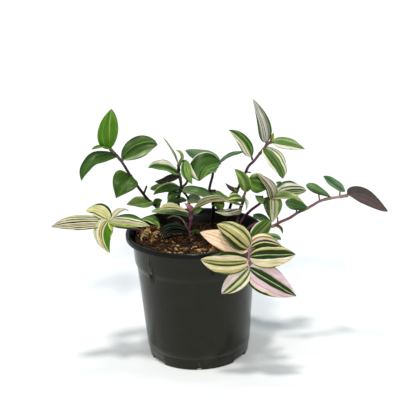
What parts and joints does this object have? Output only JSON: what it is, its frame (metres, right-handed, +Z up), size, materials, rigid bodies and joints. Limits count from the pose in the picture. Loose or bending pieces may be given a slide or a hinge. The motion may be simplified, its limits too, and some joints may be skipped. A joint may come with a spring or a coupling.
{
  "type": "potted tradescantia",
  "caption": "Variegated trailing house plant with leafy stems in soil, in a round tapered plastic nursery pot with a rolled lip.",
  "frame": {"origin": "on the pot's axis, at the level the pot stands on", "axes": "+Z up along the pot's axis, +X to the viewer's right and +Y away from the viewer of the plant's front"},
  "size_m": [0.2849, 0.1339, 0.2256],
  "materials": {
    "pot_plastic": "injection-moulded black polypropylene, satin, a little dusty",
    "soil": "damp peat potting mix with loose fibres and bark chips",
    "leaf_green": "waxy green leaf blades with a soft sheen, dark purple stems",
    "leaf_striped": "waxy green leaf blades striped lengthwise with cream, purple stems",
    "leaf_rose": "waxy leaf blades striped lengthwise with cream, pale pink and green, pink stem"
  },
  "bodies": {
    "root": {"pot": "pot_plastic", "soil": "soil", "stem_left_tall": "leaf_green", "stem_left_rim": "leaf_striped", "stem_centre_left": "leaf_green", "stem_centre": "leaf_green", "stem_right_tall": "leaf_green", "stem_right_short": "leaf_striped", "stem_right_low": "leaf_striped", "stem_far_right": "leaf_green", "stem_front_right": "leaf_rose", "stem_front_centre": "leaf_striped"}
  },
  "joints": []
}
